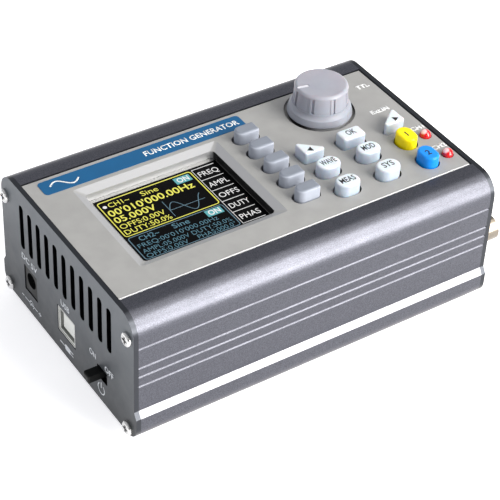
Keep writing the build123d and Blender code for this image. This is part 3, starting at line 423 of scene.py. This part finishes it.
def stroke(name, points, width, plane, body, material, closed=False):
    """Flat line of the given width through points in mm."""
    curve = bpy.data.curves.new(name, "CURVE")
    curve.dimensions = "3D"
    spline = curve.splines.new("POLY")
    spline.points.add(len(points) - 1)
    for target, point in zip(spline.points, points):
        target.co = (point[0], point[1], INK / 2, 1)
    spline.use_cyclic_u = closed
    curve.bevel_resolution = 1
    curve.bevel_depth = width / 2
    mesh = mesh_of(curve)
    for v in mesh.vertices:
        v.co.z = INK if v.co.z > INK / 2 else 0.0
    mesh.transform(plane)
    return settle(name, mesh, body, material)


def patch(name, points, plane, body, material, thick=INK):
    """Flat filled outline through points in mm."""
    mesh = bpy.data.meshes.new(name)
    mesh.from_pydata([(x, y, 0) for x, y in points], [], [range(len(points))])
    thicken(mesh, thick)
    mesh.transform(plane)
    return settle(name, mesh, body, material)


def rounded(x0, y0, x1, y1, radius, steps=5):
    """Corner points of a rounded rectangle."""
    corners = ((x1 - radius, y1 - radius, 0), (x0 + radius, y1 - radius, 90),
               (x0 + radius, y0 + radius, 180), (x1 - radius, y0 + radius, 270))
    points = []
    for cx, cy, start in corners:
        for i in range(steps + 1):
            angle = math.radians(start + 90 * i / steps)
            points.append((cx + radius * math.cos(angle), cy + radius * math.sin(angle)))
    return points


def arc(cx, cy, radius, start, end, steps=16):
    angles = [math.radians(start + (end - start) * i / steps) for i in range(steps + 1)]
    return [(cx + radius * math.cos(a), cy + radius * math.sin(a)) for a in angles]


# Banner: a sine sign and the instrument's generic name
banner = centre("banner_label")
banner_plane = on_top(top("banner_label"))
BANNER_CAPITAL = 2.55
TITLE_END = 13.0
TITLE_WIDTH = 39.0
SIGN_START = -63.0
SIGN_WIDTH = 11.0
SIGN_SWING = 1.8
SIGN_STEPS = 40


def wave_points(start, middle, width, swing, turns, steps):
    """Points of a sine line that starts at its middle height."""
    return [(start + width * i / steps, middle + swing * math.sin(math.tau * turns * i / steps))
            for i in range(steps + 1)]


label("banner_title", "FUNCTION GENERATOR", (TITLE_END, banner.y - BANNER_CAPITAL / 2), BANNER_CAPITAL,
      banner_plane, CASE, ink_white, width=TITLE_WIDTH, align=1.0, bold=0.02)
sine = wave_points(SIGN_START, banner.y, SIGN_WIDTH, SIGN_SWING, 1, SIGN_STEPS)
stroke("banner_sign", sine, 0.7, banner_plane, CASE, ink_white)

# Key tops
KEY_CAPITAL = 2.6
DIGIT_HEIGHT = 2.5
ARROW_HALF = 1.3           # half the base of an arrow
key_marks = {"wave_key": ("WAVE", 6.0), "mod_key": ("MOD", 5.2), "meas_key": ("MEAS", 6.0),
             "sys_key": ("SYS", 4.6), "ok_key": ("OK", 3.8)}
for key, (text, width) in key_marks.items():
    at = centre(key)
    label(key + "_mark", text, (at.x, at.y - 1.0), KEY_CAPITAL, on_top(top(key)), key, ink_black,
          width=width, bold=0.012)
for key, text, slot in (("channel_1_key", "1", "key_yellow"), ("channel_2_key", "2", "key_blue")):
    at = centre(key)
    label(key + "_mark", text, (at.x - 0.3, at.y - 1.5), DIGIT_HEIGHT, on_top(top(key)), key, ink_black,
          bold=0.022)
for key, inward in (("left_arrow_key", 1), ("right_arrow_key", -1)):
    low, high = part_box(key)
    outer = (low.x if inward > 0 else high.x) / MM + inward * 0.9
    tip_x, base_x, mid_y = outer + inward * 1.8, outer + inward * 3.9, low.y / MM + 2.75
    patch(key + "_mark", [(tip_x, mid_y), (base_x, mid_y - ARROW_HALF), (base_x, mid_y + ARROW_HALF)],
          on_top(top(key)), key, ink_black)

# Pointer: paint on the floor of the knob's notch
POINTER_ANGLE = math.radians(169)
POINTER_REACH = (5.1, 9.4)     # from the knob's axis
POINTER_HALF = 0.6             # half its width
POINTER_DROP = 0.42            # below the knob's top
POINTER_CORNER = 0.5
POINTER_THICK = 0.3
knob = centre("encoder_knob")
outward = (math.cos(POINTER_ANGLE), math.sin(POINTER_ANGLE), 0)
sideways = (-math.sin(POINTER_ANGLE), math.cos(POINTER_ANGLE), 0)
pointer_plane = drawing_plane((knob.x, knob.y, top("encoder_knob") - POINTER_DROP), outward, sideways)
pointer = rounded(POINTER_REACH[0], -POINTER_HALF, POINTER_REACH[1], POINTER_HALF, POINTER_CORNER)
patch("knob_pointer", pointer, pointer_plane, "knob", ink_pale, thick=POINTER_THICK)

# Panel markings
PANEL_TOP = 54.9
PANEL_CAPITAL = 2.1
panel_plane = on_top(PANEL_TOP)
for name, text, at in (("mark_channel_1", "CH1", (67.3, -8.0)), ("mark_channel_2", "CH2", (67.3, -20.9)),
                       ("mark_input", "Ext.IN", (62.0, 7.6)), ("mark_logic", "TTL", (65.5, 23.2))):
    label(name, text, at, PANEL_CAPITAL, panel_plane, CASE, ink_white, bold=0.04)

# End plate markings: drawing x runs towards the user
PLATE_CAPITAL = 2.4
SIGN_LEVEL = 7.2           # middle of the signs under the two sockets
STANDBY_X = 24.0
STANDBY_Y = 8.2
STANDBY_R = 2.2
POLARITY_X = -26.3
RING_R = 1.5
DOT_R = 0.6
THICK = 0.5
MEDIUM = 0.45
FINE = 0.4
plate_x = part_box("left_end_plate")[0].x / MM
plate_plane = drawing_plane((plate_x, 0, 0), (0, -1, 0), (0, 0, 1))


def plate_line(name, points, width):
    stroke("mark_" + name, points, width, plate_plane, CASE, ink_grey)


def plate_patch(name, points):
    patch("mark_" + name, points, plate_plane, CASE, ink_grey)


for name, text, y, z, width in (("mark_off", "OFF", -29.6, 19.0, 5.8), ("mark_on", "ON", -18.5, 19.0, 4.4),
                                ("mark_data", "USB", 0.6, 25.0, 6.0),
                                ("mark_power", "DC 5V", 26.6, 25.2, 11.4)):
    label(name, text, (-y, z), PLATE_CAPITAL, plate_plane, CASE, ink_grey, width=width,
          bold=0.015)
plate_line("standby_ring", arc(STANDBY_X, STANDBY_Y, STANDBY_R, 125, 415), THICK)
plate_line("standby_bar", [(STANDBY_X, 8.6), (STANDBY_X, 11.2)], THICK)
plate_line("plug_lead", [(-5.2, SIGN_LEVEL), (-1.5, SIGN_LEVEL)], THICK)
plate_patch("plug_body", rounded(-1.5, 6.0, 2.2, 8.4, 0.5))
for i in (-1, 1):
    prong_y = SIGN_LEVEL + 0.7 * i
    plate_line(f"plug_prong_{i + 2}", [(2.2, prong_y), (4.4, prong_y)], MEDIUM)
plate_line("polarity_ring", arc(POLARITY_X, SIGN_LEVEL, RING_R, -50, 230), FINE)
plate_patch("polarity_dot", arc(POLARITY_X, SIGN_LEVEL, DOT_R, 0, 337.5, 15))
plate_line("polarity_lead_a", [(-31.4, SIGN_LEVEL), (-27.8, SIGN_LEVEL)], FINE)
plate_line("polarity_lead_b", [(POLARITY_X, SIGN_LEVEL), (-22.0, SIGN_LEVEL)], FINE)
plate_line("polarity_minus", [(-33.8, SIGN_LEVEL), (-32.2, SIGN_LEVEL)], FINE)
plate_line("polarity_plus_a", [(-21.2, SIGN_LEVEL), (-19.2, SIGN_LEVEL)], FINE)
plate_line("polarity_plus_b", [(-20.2, 6.2), (-20.2, 8.2)], FINE)


# ---------------------------------------------------------------- picture on the screen

PRINT_LIFT = 0.01          # gap between the glass and the picture
BADGE_LIFT = 0.045         # the same for the words on the badges
LINE = 0.32
GRAPH_LINE = 0.25
screen_plane = on_top(top("lcd_glass") + PRINT_LIFT)
badge_plane = on_top(top("lcd_glass") + BADGE_LIFT)


def screen_text(name, text, x, y, height, ink, width=None, bold=0.0):
    label("screen_" + name, text, (x, y), height, screen_plane, CASE, ink,
          width=width, align=0.0, bold=bold)


def screen_line(name, points, ink, closed=False, width=LINE):
    stroke("screen_" + name, points, width, screen_plane, CASE, ink, closed)


menu_left, menu_right = -13.4, -4.4
box_left, box_right = -51.3, -14.3
top_y, split_y, low_y = 16.9, -3.6, -16.8
screen_line("channel_1_box", rounded(box_left, split_y + 0.3, box_right, top_y, 1.0), glow_yellow, True, 0.4)
screen_line("channel_2_box", rounded(box_left, low_y, box_right, split_y - 0.7, 1.0), glow_line, True)
menu_box = [(menu_right, top_y), (menu_left, top_y), (menu_left, low_y), (menu_right, low_y)]
screen_line("menu_box", menu_box, glow_white)
menu = ("FREQ", "AMPL", "OFFS", "DUTY", "PHAS")
step = (top_y - low_y) / len(menu)
for i, word in enumerate(menu):
    floor_y = top_y - step * (i + 1)
    screen_text("menu_" + word.lower(), word, menu_left + 1.0, floor_y + 2.0, 2.6, glow_white, width=7.8)
    if i < len(menu) - 1:
        screen_line(f"menu_rule_{i + 1}", [(menu_left, floor_y), (menu_right, floor_y)], glow_white)

patch("screen_cursor", arc(-49.6, 14.1, 0.75, 0, 337.5, 15), screen_plane, CASE, glow_white)
screen_text("channel_1", "CH1~", -48.2, 13.1, 2.3, glow_yellow, width=8.0)
screen_text("channel_1_shape", "Sine", -35.4, 13.1, 2.4, glow_yellow, width=6.6)
screen_text("channel_1_frequency", "00'010'000.00Hz", -50.4, 8.5, 3.2, glow_yellow, width=33.6, bold=0.012)
screen_text("channel_1_level", "05.000V", -50.4, 4.5, 3.0, glow_yellow, width=16.0, bold=0.012)
screen_text("channel_1_offset", "OFFS:0.00V", -50.4, 0.9, 2.4, glow_yellow, width=17.4)
screen_text("channel_1_duty", "DUTY:50.0%", -50.4, -2.4, 2.4, glow_yellow, width=18.0)
for number, low, high in ((1, 12.5, 16.0), (2, -8.2, -4.8)):
    patch(f"screen_badge_{number}", [(-21.7, low), (-15.4, low), (-15.4, high), (-21.7, high)],
          screen_plane, CASE, glow_badge)
    label(f"screen_badge_{number}_mark", "ON", (-18.5, low + 0.6), 2.4,
          badge_plane, CASE, glow_white, width=4.6, bold=0.02)
graph_x, graph_y = -31.2, 1.6
screen_line("graph_upright", [(graph_x, -2.0), (graph_x, 7.1)], glow_line, width=GRAPH_LINE)
screen_line("graph_level", [(graph_x, graph_y), (-17.2, graph_y)], glow_line, width=GRAPH_LINE)
screen_line("graph_wave", wave_points(graph_x, graph_y, 13.6, 3.6, 1.2, 48), glow_line, width=0.28)
screen_text("channel_2", "CH2~", -48.0, -7.5, 2.3, glow_teal, width=7.6)
screen_text("channel_2_shape", "Sine", -35.0, -7.5, 2.4, glow_teal, width=6.4)
for name, text, x, y, height, width in (
        ("channel_2_frequency", "FREQ:00'010'000.00Hz", -50.2, -10.7, 2.1, 31.0),
        ("channel_2_level", "AMPL:05.000V DUTY:50.0%", -50.2, -13.7, 2.1, 34.6),
        ("channel_2_offset", "OFFS:0.00V", -50.2, -16.3, 2.0, 16.0),
        ("channel_2_phase", "PHAS:000.0°", -30.4, -16.3, 2.0, 15.0)):
    screen_text(name, text, x, y, height, glow_teal, width=width, bold=-0.01)


# ---------------------------------------------------------------- floor, light and camera

AIM = Vector((0, 0, 0.03))     # the point that the lights face, in metres


def area_light(name, direction, distance, size, radiance, tint=(1, 1, 1)):
    """Soft box that faces the object from a direction, with an even radiance."""
    light = bpy.data.lights.new(name, "AREA")
    light.shape = "RECTANGLE"
    light.size, light.size_y = size
    light.energy = radiance * math.pi * size[0] * size[1]
    light.color = tint
    stand = bpy.data.objects.new(name, light)
    scene.collection.objects.link(stand)
    away = Vector(direction).normalized()
    stand.location = AIM + away * distance
    stand.rotation_euler = away.to_track_quat("Z", "Y").to_euler()


FLOOR = 6.0                # half its side in metres
FLOOR_GLOW = 0.6
floor_mesh = bpy.data.meshes.new("floor")
floor_mesh.from_pydata([(-FLOOR, -FLOOR, 0), (FLOOR, -FLOOR, 0), (FLOOR, FLOOR, 0), (-FLOOR, FLOOR, 0)],
                       [], [(0, 1, 2, 3)])
floor = bpy.data.objects.new("floor", floor_mesh)
scene.collection.objects.link(floor)
floor_mesh.materials.append(moulded("floor_white", (0.9, 0.9, 0.9, 1), rough=0.9, grain=4.0, spread=0.005,
                                    Emission_Color=(1, 1, 1.03, 1), Emission_Strength=FLOOR_GLOW))

# The studio is dimmer on the user's side (-Y) than behind the instrument (+Y)
STUDIO_FRONT = 0.25
STUDIO_BACK = 0.66
world = bpy.data.worlds.new("studio")
scene.world = world
world.use_nodes = True
sky = world.node_tree
where = sky.nodes.new("ShaderNodeTexCoord")
split = sky.nodes.new("ShaderNodeSeparateXYZ")
fade = sky.nodes.new("ShaderNodeMapRange")
fade.inputs["From Min"].default_value = -0.5
fade.inputs["From Max"].default_value = 0.5
fade.inputs["To Min"].default_value = STUDIO_FRONT
fade.inputs["To Max"].default_value = STUDIO_BACK
sky.links.new(where.outputs["Generated"], split.inputs["Vector"])
sky.links.new(split.outputs["Y"], fade.inputs["Value"])
sky.links.new(fade.outputs["Result"], sky.nodes["Background"].inputs["Strength"])
sky.nodes["Background"].inputs["Color"].default_value = (0.97, 0.98, 1.0, 1)

WARM = (1.0, 0.975, 0.92)
SOFTBOX_DISTANCE = 1.3
SOFTBOX_SIZE = (0.8, 0.7)
for place, direction, radiance in (("front", (0.42, -0.88, 0.13), 12.0), ("middle", (0.42, -0.59, 0.58), 9.6),
                                   ("above", (0.42, -0.16, 0.88), 2.4)):
    area_light("softbox_" + place, direction, SOFTBOX_DISTANCE, SOFTBOX_SIZE, radiance, WARM)
area_light("softbox_left", (-0.9, -0.3, 0.5), 1.6, (1.0, 1.0), 0.8)

CAMERA_AT = (-0.27182, -0.39384, 0.42149)
camera_data = bpy.data.cameras.new("camera")
camera_data.lens = 125.17
camera_data.sensor_width = 36.0
camera_data.shift_x = -0.0162
camera_data.shift_y = -0.0411
camera = bpy.data.objects.new("camera", camera_data)
scene.collection.objects.link(camera)
yaw, pitch, roll = math.radians(-35.07), math.radians(-39.25), math.radians(3.05)
turn = Matrix.Rotation(yaw, 4, "Z") @ Matrix.Rotation(math.pi / 2 + pitch, 4, "X")
turn = turn @ Matrix.Rotation(roll, 4, "Z")
camera.matrix_world = Matrix.Translation(CAMERA_AT) @ turn
scene.camera = camera
